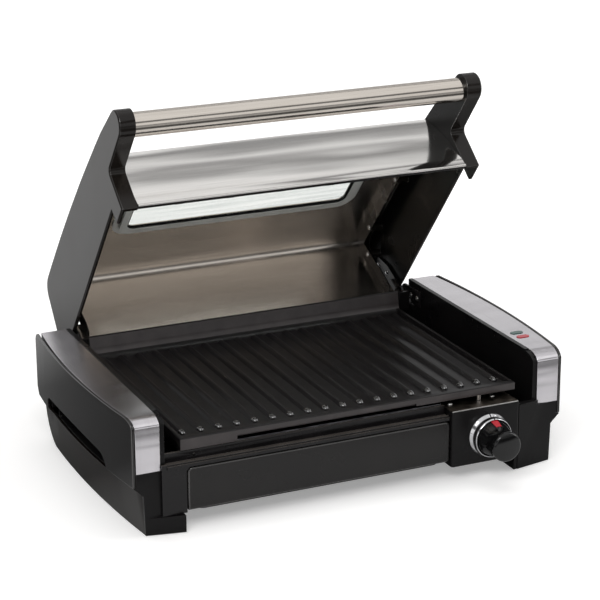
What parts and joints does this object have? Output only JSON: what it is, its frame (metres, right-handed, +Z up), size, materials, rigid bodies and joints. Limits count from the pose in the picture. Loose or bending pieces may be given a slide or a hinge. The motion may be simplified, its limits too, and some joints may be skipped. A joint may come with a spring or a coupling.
{
  "type": "electric indoor grill",
  "caption": "Countertop electric grill with a ribbed plate, drip tray, dial and a hinged steel lid with a window.",
  "frame": {"origin": "on the table, under the middle of the open grill's bounding box", "axes": "+X to the user's right, +Y to the back, +Z up; the dial and the drip tray face -Y"},
  "size_m": [0.4342, 0.3683, 0.343],
  "materials": {
    "black_moulding": "satin, finely textured",
    "gloss_black": "polished",
    "brushed_steel": "brushed along the length",
    "coated_sheet": "satin black coating",
    "coated_casting": "non-stick coating, semi-gloss",
    "bright_steel": "bright plated",
    "fasteners": "plain turned",
    "red_plastic": "polished",
    "green_plastic": "polished",
    "clear_glass": "tinted, polished",
    "rubber": "matte",
    "heater_metal": "oxidised, matte",
    "aluminised_sheet": "dull",
    "thermoset": "moulded"
  },
  "bodies": {
    "base": {"base_pan": "black_moulding", "right_skirt": "black_moulding", "left_skirt": "black_moulding", "rear_wall": "black_moulding", "foot_pads": "rubber", "right_pod_housing": "black_moulding", "left_pod_housing": "black_moulding", "right_side_panel": "gloss_black", "left_side_panel": "gloss_black", "right_steel_strip": "brushed_steel", "left_steel_strip": "brushed_steel", "red_lens": "red_plastic", "green_lens": "green_plastic", "lamp_holder": "black_moulding", "lamps": "clear_glass", "front_frame": "coated_sheet", "frame_screw": "fasteners", "control_box": "black_moulding", "sensor_ledge": "bright_steel", "ledge_screws": "fasteners", "heat_reflector": "aluminised_sheet", "heating_element": "heater_metal", "element_clips": "fasteners", "thermostat": "thermoset", "thermal_fuse": "thermoset", "terminal_block": "thermoset", "internal_wiring": "rubber", "cord_gland": "rubber", "rear_cover": "black_moulding", "right_hinge_bracket": "coated_sheet", "left_hinge_bracket": "coated_sheet", "bracket_rivets": "fasteners", "hinge_pins": "bright_steel", "grill_plate": "coated_casting", "dial_ring": "bright_steel"},
    "lid": {"lid_hood": "brushed_steel", "right_end_flange": "coated_sheet", "left_end_flange": "coated_sheet", "lid_right_cap": "gloss_black", "lid_left_cap": "gloss_black", "lid_front_hem": "coated_sheet", "handle_tube": "brushed_steel", "window_glass": "clear_glass", "window_gasket": "rubber", "window_frame": "brushed_steel", "window_screws": "fasteners", "right_hinge_arm": "coated_sheet", "left_hinge_arm": "coated_sheet", "arm_rivets": "bright_steel", "flange_screws": "bright_steel"},
    "dial": {"knob": "gloss_black", "knob_pointer": "red_plastic", "knob_shaft": "fasteners"},
    "tray": {"drip_tray": "coated_sheet", "tray_front": "black_moulding"},
    "probe": {"sensing_pin": "bright_steel", "pin_spring": "fasteners"}
  },
  "joints": [
    {"name": "lid_hinge", "type": "hinge", "parent": "base", "child": "lid", "pos_m": [0, 0.1084, 0.092], "axis": [1, 0, 0], "range_deg": [0, 50.6]},
    {"name": "knob_turn", "type": "hinge", "parent": "base", "child": "dial", "pos_m": [0.1288, -0.1616, 0.0401], "axis": [0, 1, 0], "range_deg": [0, 270]},
    {"name": "tray_slide", "type": "slide", "parent": "base", "child": "tray", "axis": [0, -1, 0], "range_m": [0, 0.22]},
    {"name": "probe_travel", "type": "slide", "parent": "base", "child": "probe", "axis": [0, 0, 1], "range_m": [-0.002, 0], "stiffness_N_per_m": 300, "springref_m": 0.003, "deforming": ["pin_spring"]}
  ]
}
